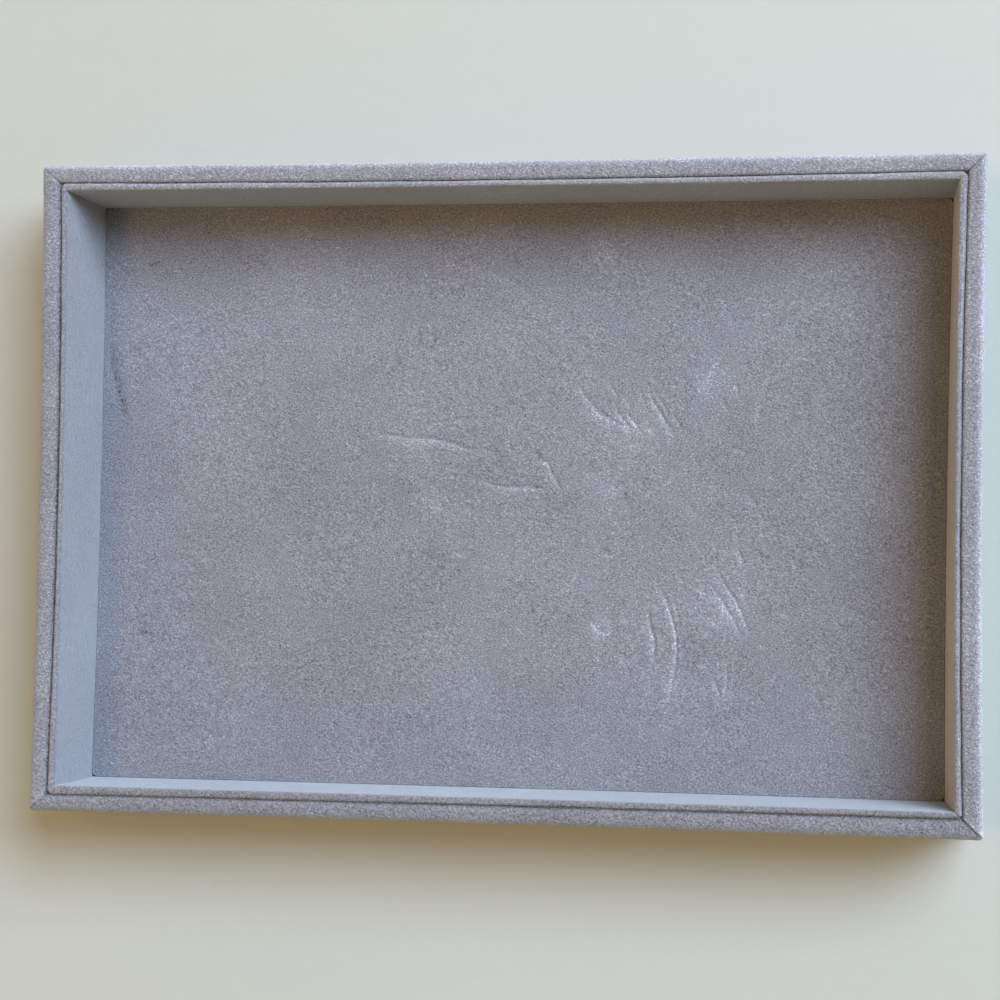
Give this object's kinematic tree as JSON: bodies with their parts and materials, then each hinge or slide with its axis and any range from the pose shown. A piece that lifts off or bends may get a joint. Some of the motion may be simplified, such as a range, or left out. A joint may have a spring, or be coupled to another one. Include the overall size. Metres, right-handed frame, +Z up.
{
  "type": "jewelry tray",
  "caption": "Open rectangular jewelry tray wrapped in napped suede cloth, with mitred rim, cloth-covered inner liner and a thin padded floor.",
  "frame": {"origin": "centre of the underside, on the surface that the tray stands on", "axes": "+X to the right along the long side, +Y to the back along the short side, +Z up out of the open top"},
  "size_m": [0.35, 0.243, 0.05],
  "materials": {
    "suede_cloth": "napped microsuede, matt with a soft sheen",
    "felt": "pressed felt, matt",
    "fibreboard": "bare fibreboard, smooth faces and raw edges",
    "card": "grey card, matt",
    "foam": "thin open-cell foam, matt"
  },
  "bodies": {
    "root": {"base_board": "fibreboard", "underside_felt": "felt", "front_wall_board": "fibreboard", "back_wall_board": "fibreboard", "left_wall_board": "fibreboard", "right_wall_board": "fibreboard", "front_wall_cover": "suede_cloth", "back_wall_cover": "suede_cloth", "left_wall_cover": "suede_cloth", "right_wall_cover": "suede_cloth", "front_liner_card": "card", "back_liner_card": "card", "left_liner_card": "card", "right_liner_card": "card", "front_liner_cover": "suede_cloth", "back_liner_cover": "suede_cloth", "left_liner_cover": "suede_cloth", "right_liner_cover": "suede_cloth", "floor_card": "card", "floor_foam": "foam", "floor_cover": "suede_cloth"}
  },
  "joints": []
}
